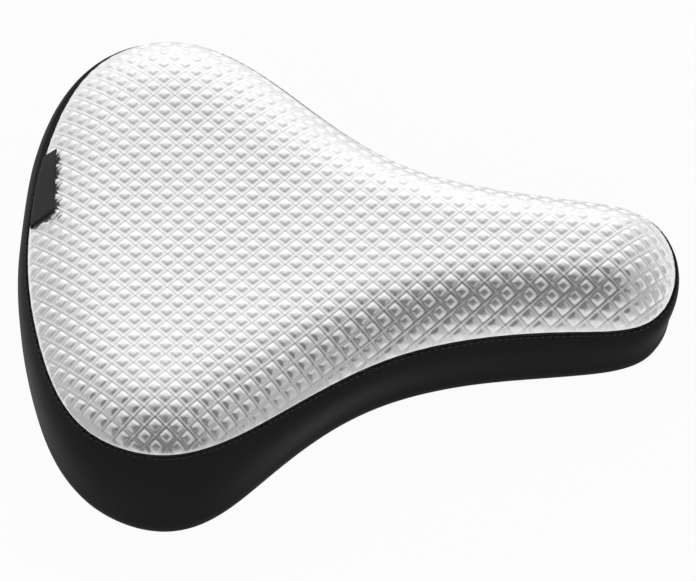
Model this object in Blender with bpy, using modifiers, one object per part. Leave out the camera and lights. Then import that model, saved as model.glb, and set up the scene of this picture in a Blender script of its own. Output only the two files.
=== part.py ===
"""Padded cover for a bicycle saddle: an embossed vinyl top over foam, sewn to a plain band with an elastic hem."""

import math

import bmesh
import bpy
import numpy as np
from mathutils import Matrix

# All sizes are in metres and angles in degrees. The nose points to +X, the hem lies on z = 0.
# Seam line between the top panel and the side band: its length, then points as distance from the rear
# middle and half width.
SEAM_LENGTH = 0.2697
SEAM_SHOULDER = (0.0069, 0.0542)
SEAM_WING_REAR = (0.0342, 0.1043)
SEAM_WING = (0.0555, 0.1115)
SEAM_FLARE = (0.1107, 0.0828)
SEAM_WAIST = (0.1503, 0.0539)

# Points of the nose, as distance back from its tip and half width.
NOSE_NECK = (0.0396, 0.0350)
NOSE_CORNER = (0.0115, 0.0278)

# Height of the seam above the hem at five even stations from rear to nose, and how much higher it is at
# the widest part.
SEAM_HEIGHTS = (0.0432, 0.0443, 0.0386, 0.0354, 0.0300)
SEAM_SIDE_RISE = 0.0037

# Domed cushion: its rise over the seam and how far in from the seam it reaches full height.
DOME_REAR_RISE = 0.0106
DOME_NOSE_RISE = 0.0168
DOME_REAR_RUN = 0.0402
DOME_NOSE_RUN = 0.0318
DOME_FULLNESS = 2.62

# Embossed sheet of the top panel: square cells turned to diamonds, each a low pyramid.
PANEL_THICKNESS = 0.0012
CELL_DIAGONAL = 0.0090
EMBOSS_HEIGHT = 0.0010
EMBOSS_ORIGIN = (0.1093, -0.0032)
EMBOSS_TURN = 1.1

# Layers below the panel.
FOAM_THICKNESS = 0.0040
LINING_THICKNESS = 0.0008
PADDING_INSET = 0.0025

# Side band: a lip under the seam, a bulged side, a rounded foot and a flat hem.
BAND_THICKNESS = 0.0012
LIP_REACH = 0.0013
LIP_DROP = 0.0008
FOOT_OFFSETS = (0.0050, 0.0060, 0.0070, 0.0004, -0.0026, -0.0008, 0.0010, 0.0008, -0.0016)
SIDE_SWELL = 0.0084
FOOT_RADIUS = 0.0090
HEM_WIDTH = 0.0065

# Casing folded back over the elastic.
ELASTIC_DIAMETER = 0.0030
CASING_CLEARANCE = 0.0004
FLAP_WIDTH = 0.0075

# Tape behind the top edge of the band.
TAPE_DROP = 0.0025
TAPE_WIDTH = 0.0100
TAPE_THICKNESS = 0.0008

# Woven label in the rear seam; its place is measured along the seam from the rear middle.
LABEL_OFFSET = 0.0090
LABEL_LENGTH = 0.0400
LABEL_DEPTH = 0.0090
LABEL_FAR_DEPTH = 0.0050
LABEL_ROOT = 0.0010
LABEL_THICKNESS = 0.0008
LABEL_LIFT = 0.0022

# Gap kept between sewn layers.
CLEARANCE = 0.0003

RING_HALF_STEPS = 36
RING_CORNER_RADIUS = 0.030


def clear_scene():
    for obj in list(bpy.data.objects):
        bpy.data.objects.remove(obj, do_unlink=True)


def closed_spline(points, samples):
    """Periodic cubic spline through the points, run by chord length."""
    p = np.array(points)
    n = len(p)
    step = np.linalg.norm(np.roll(p, -1, axis=0) - p, axis=1)
    system = np.zeros((n, n))
    target = np.zeros((n, 2))
    for i in range(n):
        before, after = step[i - 1], step[i]
        follower = (i + 1) % n
        system[i, i - 1] += after
        system[i, i] += 2.0 * (before + after)
        system[i, follower] += before
        target[i] = 3.0 * (after / before * (p[i] - p[i - 1]) + before / after * (p[follower] - p[i]))
    slope = np.linalg.solve(system, target)
    knots = np.concatenate([[0.0], np.cumsum(step)])
    at = np.linspace(0.0, knots[-1], samples)
    k = np.clip(np.searchsorted(knots, at, side="right") - 1, 0, n - 1)
    h = step[k][:, None]
    t = ((at - knots[k]) / step[k])[:, None]
    start, end = p[k], p[(k + 1) % n]
    out, into = slope[k] * h, slope[(k + 1) % n] * h
    return ((1 + 2 * t) * (1 - t) ** 2 * start + t * (1 - t) ** 2 * out
            + t ** 2 * (3 - 2 * t) * end - t ** 2 * (1 - t) * into)


def station_curve(values, s):
    """Natural cubic spline through values at even stations of s = 0 to 1."""
    v = np.array(values)
    n = len(v)
    h = 1.0 / (n - 1)
    system = np.eye(n)
    target = np.zeros(n)
    for i in range(1, n - 1):
        system[i, i - 1:i + 2] = (1.0, 4.0, 1.0)
        target[i] = 6.0 * (v[i - 1] - 2.0 * v[i] + v[i + 1]) / h ** 2
    bend = np.linalg.solve(system, target)
    s = np.clip(s, -0.1, 1.1)
    k = np.clip((s / h).astype(int), 0, n - 2)
    a = s / h - k
    b = 1.0 - a
    return b * v[k] + a * v[k + 1] + h ** 2 / 6.0 * ((b ** 3 - b) * bend[k] + (a ** 3 - a) * bend[k + 1])


def seam_outline():
    nose = [(SEAM_LENGTH - back, y) for back, y in (NOSE_NECK, NOSE_CORNER)]
    side = [SEAM_SHOULDER, SEAM_WING_REAR, SEAM_WING, SEAM_FLARE, SEAM_WAIST] + nose
    other = [(x, -y) for x, y in reversed(side)]
    return closed_spline([(0.0, 0.0)] + side + [(SEAM_LENGTH, 0.0)] + other, 481)


OUTLINE = seam_outline()
HALF_OUTLINE = OUTLINE[:len(OUTLINE) // 2 + 1]


def seam_distance(x, y):
    """Distance in from the seam line; negative outside it."""
    a, b = HALF_OUTLINE[:-1], HALF_OUTLINE[1:]
    along = b - a
    px = x[:, None] - a[:, 0]
    py = np.abs(y)[:, None] - a[:, 1]
    t = np.clip((px * along[:, 0] + py * along[:, 1]) / (along ** 2).sum(axis=1), 0.0, 1.0)
    gap = np.hypot(px - t * along[:, 0], py - t * along[:, 1])
    nearest = gap.argmin(axis=1)
    row = np.arange(len(x))
    side = along[nearest, 0] * py[row, nearest] - along[nearest, 1] * px[row, nearest]
    return np.where(side <= 0.0, 1.0, -1.0) * gap[row, nearest]


def seam_height(x, y):
    s = x / SEAM_LENGTH
    side = (y / SEAM_WING[1]) ** 2 * np.clip(1.0 - 0.6 * s, 0.0, 1.0)
    return station_curve(SEAM_HEIGHTS, s) + SEAM_SIDE_RISE * side


def cushion_height(x, y):
    """Height of the panel's outer face, at the foot of its pyramids."""
    s = np.clip(x / SEAM_LENGTH, 0.0, 1.0)
    nose = 0.5 - 0.5 * np.cos(np.pi * np.clip((s - 0.25) / 0.5, 0.0, 1.0))
    rise = DOME_REAR_RISE * (1.0 - nose) + DOME_NOSE_RISE * nose
    run = DOME_REAR_RUN * (1.0 - nose) + DOME_NOSE_RUN * nose
    inward = seam_distance(x, y)
    dome = 1.0 - (1.0 - np.clip(inward / run, -0.6, 1.0)) ** DOME_FULLNESS
    return seam_height(x, y) + rise * dome


def cushion_points(x, y, lift):
    """Points at a height over the cushion's outer face, measured square to it."""
    step = CLEARANCE
    slope_x = (cushion_height(x + step, y) - cushion_height(x - step, y)) / (2.0 * step)
    slope_y = (cushion_height(x, y + step) - cushion_height(x, y - step)) / (2.0 * step)
    scale = lift / np.sqrt(1.0 + slope_x ** 2 + slope_y ** 2)
    z = cushion_height(x, y)
    return np.stack([x - slope_x * scale, y - slope_y * scale, z + scale], axis=1)


class FlatSheet:
    """Flat pattern of the cushion: lengths measured over the dome from its rear edge and middle line."""

    def __init__(self):
        margin = 1.3 * CELL_DIAGONAL
        self.x = np.linspace(-margin, SEAM_LENGTH + margin, 97)
        self.y = np.linspace(0.0, 1.12 * SEAM_WING[1], 49)
        self.dx = self.x[1] - self.x[0]
        self.dy = self.y[1] - self.y[0]
        grid_x, grid_y = np.meshgrid(self.x, self.y, indexing="ij")
        z = cushion_height(grid_x.ravel(), grid_y.ravel()).reshape(grid_x.shape)
        self.long = np.zeros_like(z)
        self.long[1:] = np.cumsum(np.hypot(np.diff(z, axis=0), self.dx), axis=0)
        self.across = np.zeros_like(z)
        self.across[:, 1:] = np.cumsum(np.hypot(np.diff(z, axis=1), self.dy), axis=1)
        # The rows are joined without shear at the widest part, and u starts at the rear edge.
        level = np.array([np.interp(0.33 * SEAM_LENGTH, self.x, column) for column in self.long.T])
        self.long -= level
        self.long -= np.interp(0.0, self.x, self.long[:, 0])

    def look_up(self, table, x, y):
        i = np.clip((x - self.x[0]) / self.dx, 0.0, len(self.x) - 1.001)
        j = np.clip(np.abs(y) / self.dy, 0.0, len(self.y) - 1.001)
        a, b = i % 1.0, j % 1.0
        i, j = i.astype(int), j.astype(int)
        return (table[i, j] * (1 - a) * (1 - b) + table[i + 1, j] * a * (1 - b)
                + table[i, j + 1] * (1 - a) * b + table[i + 1, j + 1] * a * b)

    def flatten(self, x, y):
        return self.look_up(self.long, x, y), np.sign(y) * self.look_up(self.across, x, y)

    def drape(self, u, v):
        """Plan position of points of the flat sheet."""
        x, y = u + self.x[0], v.copy()
        for _ in range(30):
            at_u, at_v = self.flatten(x, y)
            x = x + 0.7 * (u - at_u)
            y = y + 0.7 * (v - at_v)
        return x, y


def seam_ring():
    """Even steps along the seam, closer together where it turns, with outward directions."""
    half = HALF_OUTLINE
    edge = np.diff(half, axis=0)
    length = np.linalg.norm(edge, axis=1)
    heading = np.unwrap(np.arctan2(edge[:, 1], edge[:, 0]))
    turn = np.abs(np.gradient(heading)) / length
    weight = np.concatenate([[0.0], np.cumsum(length * (1.0 + RING_CORNER_RADIUS * turn))])
    at = np.linspace(0.0, weight[-1], RING_HALF_STEPS + 1)
    side = np.stack([np.interp(at, weight, half[:, 0]), np.interp(at, weight, half[:, 1])], axis=1)
    side[0, 1] = side[-1, 1] = 0.0
    other = side[-2:0:-1] * (1.0, -1.0)
    ring = np.concatenate([side, other])
    tangent = np.roll(ring, -1, axis=0) - np.roll(ring, 1, axis=0)
    outward = np.stack([-tangent[:, 1], tangent[:, 0]], axis=1)
    return ring, outward / np.linalg.norm(outward, axis=1)[:, None]


def fold_radius():
    return BAND_THICKNESS + CASING_CLEARANCE + ELASTIC_DIAMETER / 2.0


def bezier(a, b, c, d, count):
    t = np.linspace(0.0, 1.0, count + 1)[:, None]
    return (1 - t) ** 3 * a + 3 * t * (1 - t) ** 2 * b + 3 * t ** 2 * (1 - t) * c + t ** 3 * d


def side_profile(height, foot):
    """Band's outer face from the seam down to the side of its foot, as (offset, height) pairs."""
    top = np.array((CLEARANCE, height - CLEARANCE / 2.0))
    lip = np.array((LIP_REACH, height - LIP_DROP))
    low = np.array((foot, FOOT_RADIUS))
    # A tall side swells more than a low one.
    side = lip[1] - low[1]
    start = lip + np.array((SIDE_SWELL * (side / SEAM_HEIGHTS[0]) ** 2, -0.25 * side))
    end = low + np.array((0.0, 0.30 * side))
    return np.concatenate([top[None], bezier(lip, start, end, low, 4)])


def hem_profile(foot):
    """Band's outer face from its foot round the hem and the folded casing to the casing's free edge."""
    points = []
    centre = np.array((foot - FOOT_RADIUS, FOOT_RADIUS))
    for turn in (45.0, 90.0):
        angle = math.radians(turn)
        points.append(centre + FOOT_RADIUS * np.array((math.cos(angle), -math.sin(angle))))
    radius = fold_radius()
    fold = np.array((foot - FOOT_RADIUS - HEM_WIDTH, radius))
    for turn in (0.0, 45.0, 90.0, 135.0, 180.0):
        angle = math.radians(turn)
        points.append(fold + radius * np.array((-math.sin(angle), -math.cos(angle))))
    flap_height = 2.0 * BAND_THICKNESS + CLEARANCE
    points.append(np.array((fold[0] + 0.45 * FLAP_WIDTH, 0.6 * 2.0 * radius + 0.4 * flap_height)))
    points.append(np.array((fold[0] + FLAP_WIDTH, flap_height)))
    return np.array(points)


def tape_section(height, foot):
    """Closed section of the tape, laid against the inner face of the band just under the seam."""
    side = side_profile(height, foot)
    run = np.concatenate([[0.0], np.cumsum(np.linalg.norm(np.diff(side, axis=0), axis=1))])
    at = np.linspace(TAPE_DROP, TAPE_DROP + TAPE_WIDTH, 4)
    line = np.stack([np.interp(at, run, side[:, 0]), np.interp(at, run, side[:, 1])], axis=1)
    heading = np.gradient(line, axis=0)
    heading /= np.linalg.norm(heading, axis=1)[:, None]
    inner = np.stack([heading[:, 1], -heading[:, 0]], axis=1)
    near = line + (BAND_THICKNESS + CLEARANCE) * inner
    far = near + TAPE_THICKNESS * inner
    return np.concatenate([near, far[::-1]])


def place(ring, outward, section):
    """Points of one section at one seam station."""
    xy = ring + section[:, :1] * outward
    return np.column_stack([xy, section[:, 1]])


def material(name, colour, roughness, metallic=0.0):
    mat = bpy.data.materials.new(name)
    mat.use_nodes = True
    shader = mat.node_tree.nodes["Principled BSDF"]
    shader.inputs["Base Color"].default_value = (*colour, 1.0)
    shader.inputs["Roughness"].default_value = roughness
    shader.inputs["Metallic"].default_value = metallic
    return mat


def add_object(name, mesh, mat, parent, collection):
    obj = bpy.data.objects.new(name, mesh)
    collection.objects.link(obj)
    obj.parent = parent
    mesh.materials.clear()
    mesh.materials.append(mat)
    return obj


def loft(name, rows, closed_section):
    """Surface through like sections round the closed ring."""
    bm = bmesh.new()
    grid = [[bm.verts.new(p) for p in row] for row in rows]
    count = len(rows[0])
    for near, far in zip(grid, grid[1:] + grid[:1]):
        for i in range(count if closed_section else count - 1):
            j = (i + 1) % count
            bm.faces.new((near[i], far[i], far[j], near[j]))
    mesh = bpy.data.meshes.new(name)
    bm.to_mesh(mesh)
    bm.free()
    return mesh


def pattern_piece(name, inset, sheet, ring, outward, patterns):
    """Solid cutter with the outline of a flat pattern piece."""
    plan = ring - inset * outward
    u, v = sheet.flatten(plan[:, 0], plan[:, 1])
    bm = bmesh.new()
    face = bm.faces.new([bm.verts.new((a, b, -CELL_DIAGONAL)) for a, b in zip(u, v)])
    raised = bmesh.ops.extrude_face_region(bm, geom=[face], use_keep_orig=True)
    top = [g for g in raised["geom"] if isinstance(g, bmesh.types.BMVert)]
    bmesh.ops.translate(bm, vec=(0.0, 0.0, 2.0 * CELL_DIAGONAL), verts=top)
    bmesh.ops.recalc_face_normals(bm, faces=bm.faces)
    mesh = bpy.data.meshes.new(name)
    bm.to_mesh(mesh)
    bm.free()
    cutter = bpy.data.objects.new(name, mesh)
    cutter.hide_render = True
    cutter.display_type = "WIRE"
    patterns.objects.link(cutter)
    return cutter


def cell_sheet(name, cutter, cells_per_side, thickness, emboss):
    """Flat sheet of square cells turned to diamonds, large enough for the pattern piece."""
    side = cells_per_side * CELL_DIAGONAL / math.sqrt(2.0)
    corners = np.array([v.co[:2] for v in cutter.data.vertices]) - EMBOSS_ORIGIN
    reach = np.abs(corners).sum(axis=1).max() / math.sqrt(2.0)
    # The cell at the origin is centred on it, and larger cells share the corners of the small ones.
    count = 2 * math.ceil(reach / side) + (1 if cells_per_side == 1 else 2)
    bm = bmesh.new()
    bmesh.ops.create_grid(bm, x_segments=count, y_segments=count, size=side * count / 2.0)
    if cells_per_side == 2:
        bmesh.ops.translate(bm, vec=(side / 4.0, side / 4.0, 0.0), verts=bm.verts)
    if emboss == 0.0:
        # Both faces of a layer are split along the same diagonals, so that layers lie parallel.
        bmesh.ops.triangulate(bm, faces=bm.faces)
    lowered = bmesh.ops.extrude_face_region(bm, geom=list(bm.faces), use_keep_orig=True)
    under = [g for g in lowered["geom"] if isinstance(g, bmesh.types.BMVert)]
    bmesh.ops.translate(bm, vec=(0.0, 0.0, -thickness), verts=under)
    bmesh.ops.recalc_face_normals(bm, faces=bm.faces)
    if emboss > 0.0:
        tops = [f for f in bm.faces if f.normal.z > 0.5]
        bmesh.ops.poke(bm, faces=tops, offset=emboss)
    turn = Matrix.Rotation(math.radians(45.0 + EMBOSS_TURN), 3, "Z")
    bmesh.ops.rotate(bm, cent=(0.0, 0.0, 0.0), matrix=turn, verts=bm.verts)
    bmesh.ops.translate(bm, vec=(*EMBOSS_ORIGIN, 0.0), verts=bm.verts)
    mesh = bpy.data.meshes.new(name)
    bm.to_mesh(mesh)
    bm.free()
    return mesh


def draped_layer(name, cells_per_side, thickness, emboss, depth, cutter, sheet, patterns):
    """Flat sheet cut to its pattern piece, then laid over the cushion with its top face at the depth."""
    flat = bpy.data.objects.new(name + "_flat", cell_sheet(name, cutter, cells_per_side, thickness, emboss))
    patterns.objects.link(flat)
    cut = flat.modifiers.new("Outline", "BOOLEAN")
    cut.operation = "INTERSECT"
    cut.solver = "EXACT"
    cut.object = cutter
    bpy.context.view_layer.update()
    mesh = bpy.data.meshes.new_from_object(flat.evaluated_get(bpy.context.evaluated_depsgraph_get()))
    bpy.data.objects.remove(flat, do_unlink=True)
    mesh.name = name
    bm = bmesh.new()
    bm.from_mesh(mesh)
    bmesh.ops.remove_doubles(bm, verts=bm.verts, dist=0.0001)
    bmesh.ops.dissolve_degenerate(bm, edges=bm.edges, dist=0.00005)
    bmesh.ops.triangulate(bm, faces=bm.faces)
    flat_points = np.array([v.co for v in bm.verts])
    x, y = sheet.drape(flat_points[:, 0], flat_points[:, 1])
    for vert, point in zip(bm.verts, cushion_points(x, y, flat_points[:, 2] - depth)):
        vert.co = point
    bmesh.ops.recalc_face_normals(bm, faces=bm.faces)
    bm.to_mesh(mesh)
    bm.free()
    return mesh


def elastic_loop(name, ring, outward, foot):
    """Closed loop of cord along the inside of the casing's fold."""
    curve = bpy.data.curves.new(name, "CURVE")
    curve.dimensions = "3D"
    curve.bevel_depth = ELASTIC_DIAMETER / 2.0
    curve.bevel_resolution = 1
    spline = curve.splines.new("POLY")
    spline.points.add(len(ring) - 1)
    offset = foot - FOOT_RADIUS - HEM_WIDTH
    for point, xy in zip(spline.points, ring + offset[:, None] * outward):
        point.co = (xy[0], xy[1], fold_radius(), 1.0)
    spline.use_cyclic_u = True
    return curve


def label_sheet(name):
    """Label from the lip of the band up over the panel's rim, as an open sheet."""
    half = HALF_OUTLINE
    run = np.concatenate([[0.0], np.cumsum(np.linalg.norm(np.diff(half, axis=0), axis=1))])
    rows = []
    for part in np.linspace(0.0, 1.0, 9):
        at = LABEL_OFFSET + LABEL_LENGTH * part
        seam = np.array([np.interp(at, run, half[:, 0]), np.interp(at, run, half[:, 1])])
        next_at = at + LABEL_ROOT
        ahead = np.array([np.interp(next_at, run, half[:, 0]), np.interp(next_at, run, half[:, 1])])
        along = (ahead - seam) / np.linalg.norm(ahead - seam)
        inward = np.array([along[1], -along[0]])
        free_edge = LABEL_DEPTH * (1.0 - part) + LABEL_FAR_DEPTH * part
        depth = np.linspace(LABEL_ROOT, free_edge, 6)
        plan = seam + depth[:, None] * inward
        rest = EMBOSS_HEIGHT + CLEARANCE + LABEL_THICKNESS / 2.0
        lift = rest + LABEL_LIFT * (depth / LABEL_DEPTH) ** 2
        rows.append(cushion_points(plan[:, 0], plan[:, 1], lift))
    bm = bmesh.new()
    grid = [[bm.verts.new(p) for p in row] for row in rows]
    for near, far in zip(grid, grid[1:]):
        for i in range(len(near) - 1):
            bm.faces.new((near[i], near[i + 1], far[i + 1], far[i]))
    mesh = bpy.data.meshes.new(name)
    bm.to_mesh(mesh)
    bm.free()
    return mesh


def build():
    clear_scene()
    parts = bpy.data.collections.new("saddle_cover")
    patterns = bpy.data.collections.new("patterns")
    bpy.context.scene.collection.children.link(parts)
    bpy.context.scene.collection.children.link(patterns)

    silver = material("silver vinyl", (0.80, 0.80, 0.80), 0.32)
    black = material("black vinyl", (0.018, 0.018, 0.019), 0.42)
    foam_grey = material("foam", (0.30, 0.30, 0.31), 0.95)
    lining_grey = material("lining fabric", (0.22, 0.22, 0.23), 0.90)
    tape_black = material("tape fabric", (0.03, 0.03, 0.03), 0.85)
    elastic_black = material("elastic", (0.04, 0.04, 0.04), 0.80)
    label_black = material("label fabric", (0.02, 0.02, 0.02), 0.75)

    ring, outward = seam_ring()
    height = seam_height(ring[:, 0], ring[:, 1])
    foot = station_curve(FOOT_OFFSETS, ring[:, 0] / SEAM_LENGTH)
    sheet = FlatSheet()

    # The origin is midway between the rearmost and foremost points of the band.
    sections = [np.concatenate([side_profile(h, f), hem_profile(f)]) for h, f in zip(height, foot)]
    band_rows = [place(p, n, s) for p, n, s in zip(ring, outward, sections)]
    reach = np.concatenate(band_rows)[:, 0]
    cover = bpy.data.objects.new("cover", None)
    cover.location.x = -(reach.min() + reach.max()) / 2.0
    parts.objects.link(cover)

    panel_outline = pattern_piece("panel_outline", 0.0, sheet, ring, outward, patterns)
    padding_outline = pattern_piece("padding_outline", PADDING_INSET, sheet, ring, outward, patterns)
    foam_depth = PANEL_THICKNESS + CLEARANCE
    lining_depth = foam_depth + FOAM_THICKNESS + CLEARANCE
    panel = draped_layer("top_panel", 1, PANEL_THICKNESS, EMBOSS_HEIGHT, 0.0, panel_outline, sheet, patterns)
    foam = draped_layer("foam_pad", 2, FOAM_THICKNESS, 0.0, foam_depth, padding_outline, sheet, patterns)
    lining = draped_layer("lining", 2, LINING_THICKNESS, 0.0, lining_depth, padding_outline, sheet, patterns)
    add_object("top_panel", panel, silver, cover, parts)
    add_object("foam_pad", foam, foam_grey, cover, parts)
    add_object("lining", lining, lining_grey, cover, parts)

    band = add_object("side_band", loft("side_band", band_rows, closed_section=False), black, cover, parts)
    wall = band.modifiers.new("Thickness", "SOLIDIFY")
    wall.thickness = BAND_THICKNESS
    wall.offset = -1.0
    wall.use_even_offset = True

    tape_rows = [place(p, n, tape_section(h, f)) for p, n, h, f in zip(ring, outward, height, foot)]
    add_object("seam_tape", loft("seam_tape", tape_rows, closed_section=True), tape_black, cover, parts)
    add_object("hem_elastic", elastic_loop("hem_elastic", ring, outward, foot), elastic_black, cover, parts)

    label = add_object("label", label_sheet("label"), label_black, cover, parts)
    cloth = label.modifiers.new("Thickness", "SOLIDIFY")
    cloth.thickness = LABEL_THICKNESS
    cloth.offset = 0.0


build()
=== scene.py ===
import math

import bmesh
import bpy
import numpy as np
from mathutils import Matrix, Vector


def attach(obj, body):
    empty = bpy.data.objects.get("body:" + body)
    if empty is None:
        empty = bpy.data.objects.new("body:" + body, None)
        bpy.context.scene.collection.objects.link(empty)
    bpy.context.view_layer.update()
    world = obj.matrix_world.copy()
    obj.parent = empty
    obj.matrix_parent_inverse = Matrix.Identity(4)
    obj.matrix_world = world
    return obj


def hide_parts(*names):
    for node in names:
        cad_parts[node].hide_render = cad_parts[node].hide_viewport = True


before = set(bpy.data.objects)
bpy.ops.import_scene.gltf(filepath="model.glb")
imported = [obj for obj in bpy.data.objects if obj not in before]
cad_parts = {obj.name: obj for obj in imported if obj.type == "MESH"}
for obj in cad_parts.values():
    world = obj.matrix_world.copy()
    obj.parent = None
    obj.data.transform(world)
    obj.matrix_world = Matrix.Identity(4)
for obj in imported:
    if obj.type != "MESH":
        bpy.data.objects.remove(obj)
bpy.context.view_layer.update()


# Foam pad. A sheet of grey open-cell foam, about 4 mm thick, that fills the dome under the embossed top.
# It is cut a little smaller than the top and caught between it and the lining when they are sewn.

REAR_MIDDLE = -0.1331
SEAM_LENGTH = 0.2697
SEAM_SIDE = ((0.0069, 0.0542), (0.0342, 0.1043), (0.0555, 0.1115), (0.1107, 0.0828), (0.1503, 0.0539),
             (0.2301, 0.0350), (0.2582, 0.0278))
SEAM_HEIGHTS = (0.0432, 0.0443, 0.0386, 0.0354, 0.0300)
SEAM_SIDE_RISE = 0.0037
WIDEST = 0.1115
DOME_RISE_REAR, DOME_RISE_NOSE = 0.0106, 0.0168
DOME_RUN_REAR, DOME_RUN_NOSE = 0.0402, 0.0318
DOME_FULLNESS = 2.62
PANEL_THICKNESS = 0.0012
LAYER_GAP = 0.0003
FOAM_THICKNESS = 0.0040
FOAM_INSET = 0.0025


def closed_curve(points, samples):
    """Smooth closed line through the points, run by chord length."""
    p = np.array(points)
    n = len(p)
    step = np.linalg.norm(np.roll(p, -1, axis=0) - p, axis=1)
    system = np.zeros((n, n))
    target = np.zeros((n, 2))
    for i in range(n):
        before, after, follower = step[i - 1], step[i], (i + 1) % n
        system[i, i - 1] += after
        system[i, i] += 2.0 * (before + after)
        system[i, follower] += before
        target[i] = 3.0 * (after / before * (p[i] - p[i - 1]) + before / after * (p[follower] - p[i]))
    slope = np.linalg.solve(system, target)
    knots = np.concatenate([[0.0], np.cumsum(step)])
    at = np.linspace(0.0, knots[-1], samples)
    k = np.clip(np.searchsorted(knots, at, side="right") - 1, 0, n - 1)
    h = step[k][:, None]
    t = ((at - knots[k]) / step[k])[:, None]
    start, end = p[k], p[(k + 1) % n]
    out, into = slope[k] * h, slope[(k + 1) % n] * h
    return ((1 + 2 * t) * (1 - t) ** 2 * start + t * (1 - t) ** 2 * out
            + t ** 2 * (3 - 2 * t) * end - t ** 2 * (1 - t) * into)


def station_curve(values, s):
    """Smooth curve through values at even stations of s = 0 to 1."""
    v = np.array(values)
    n = len(v)
    h = 1.0 / (n - 1)
    system = np.eye(n)
    target = np.zeros(n)
    for i in range(1, n - 1):
        system[i, i - 1:i + 2] = (1.0, 4.0, 1.0)
        target[i] = 6.0 * (v[i - 1] - 2.0 * v[i] + v[i + 1]) / h ** 2
    bend = np.linalg.solve(system, target)
    s = np.clip(s, -0.1, 1.1)
    k = np.clip((s / h).astype(int), 0, n - 2)
    a = s / h - k
    b = 1.0 - a
    return b * v[k] + a * v[k + 1] + h ** 2 / 6.0 * ((b ** 3 - b) * bend[k] + (a ** 3 - a) * bend[k + 1])


def smooth_step(x, low, high):
    t = np.clip((x - low) / (high - low), 0.0, 1.0)
    return t * t * (3.0 - 2.0 * t)


seam_points = [(0.0, 0.0), *SEAM_SIDE, (SEAM_LENGTH, 0.0), *((x, -y) for x, y in reversed(SEAM_SIDE))]
SEAM = closed_curve(seam_points, 721) + (REAR_MIDDLE, 0.0)
HALF_SEAM = SEAM[:361]


def from_edge(points, half_line):
    """Distance of plan points in from a line that is given for one half, and their nearest points on it."""
    a, along = half_line[:-1], np.diff(half_line, axis=0)
    length2 = (along ** 2).sum(axis=1)
    distance = np.empty(len(points))
    nearest = np.empty((len(points), 2))
    batch = 6000
    for first in range(0, len(points), batch):
        part = slice(first, first + batch)
        some = points[part]
        side = np.where(some[:, 1] < 0.0, -1.0, 1.0)
        px = some[:, :1] - a[:, 0]
        py = np.abs(some[:, 1:]) - a[:, 1]
        t = np.clip((px * along[:, 0] + py * along[:, 1]) / length2, 0.0, 1.0)
        gap = np.hypot(px - t * along[:, 0], py - t * along[:, 1])
        k = gap.argmin(axis=1)
        row = np.arange(len(some))
        inside = along[k, 0] * py[row, k] - along[k, 1] * px[row, k] <= 0.0
        distance[part] = np.where(inside, 1.0, -1.0) * gap[row, k]
        on_line = a[k] + t[row, k][:, None] * along[k]
        nearest[part] = on_line * np.stack([np.ones(len(some)), side], axis=1)
    return distance, nearest


def seam_height(x, y):
    """Height of the seam, and of the plane that it spans; it rises a little towards the sides at the rear."""
    s = (x - REAR_MIDDLE) / SEAM_LENGTH
    side = (y / WIDEST) ** 2 * np.clip(1.0 - 0.6 * s, 0.0, 1.0)
    return station_curve(SEAM_HEIGHTS, s) + SEAM_SIDE_RISE * side


def dome_height(x, y):
    """Height of the embossed top at the foot of its cells."""
    s = np.clip((x - REAR_MIDDLE) / SEAM_LENGTH, 0.0, 1.0)
    nose = 0.5 - 0.5 * np.cos(np.pi * np.clip((s - 0.25) / 0.5, 0.0, 1.0))
    rise = DOME_RISE_REAR * (1.0 - nose) + DOME_RISE_NOSE * nose
    run = DOME_RUN_REAR * (1.0 - nose) + DOME_RUN_NOSE * nose
    inward = from_edge(np.stack([x, y], axis=1), HALF_SEAM)[0]
    return seam_height(x, y) + rise * (1.0 - (1.0 - np.clip(inward / run, -0.6, 1.0)) ** DOME_FULLNESS)


def on_dome(x, y, lift):
    """Points at a height over the dome, measured square to it."""
    step = 0.0003
    slope_x = (dome_height(x + step, y) - dome_height(x - step, y)) / (2.0 * step)
    slope_y = (dome_height(x, y + step) - dome_height(x, y - step)) / (2.0 * step)
    scale = lift / np.sqrt(1.0 + slope_x ** 2 + slope_y ** 2)
    return np.stack([x - slope_x * scale, y - slope_y * scale, dome_height(x, y) + scale], axis=1)


# The flat pattern is measured over the dome from its rear edge and its middle line, and it is square to
# the middle line at a third of its length.
PATTERN_MARGIN = 0.0117
SQUARE_AT = REAR_MIDDLE + 0.33 * SEAM_LENGTH
PATTERN_X = np.linspace(REAR_MIDDLE - PATTERN_MARGIN, REAR_MIDDLE + SEAM_LENGTH + PATTERN_MARGIN, 97)
PATTERN_Y = np.linspace(0.0, 1.12 * WIDEST, 49)
grid_x, grid_y = np.meshgrid(PATTERN_X, PATTERN_Y, indexing="ij")
grid_z = dome_height(grid_x.ravel(), grid_y.ravel()).reshape(grid_x.shape)
PATTERN_LONG = np.zeros_like(grid_z)
PATTERN_LONG[1:] = np.cumsum(np.hypot(np.diff(grid_z, axis=0), PATTERN_X[1] - PATTERN_X[0]), axis=0)
PATTERN_ACROSS = np.zeros_like(grid_z)
PATTERN_ACROSS[:, 1:] = np.cumsum(np.hypot(np.diff(grid_z, axis=1), PATTERN_Y[1] - PATTERN_Y[0]), axis=1)
PATTERN_LONG -= [np.interp(SQUARE_AT, PATTERN_X, column) for column in PATTERN_LONG.T]
PATTERN_LONG -= np.interp(REAR_MIDDLE, PATTERN_X, PATTERN_LONG[:, 0])


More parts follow.
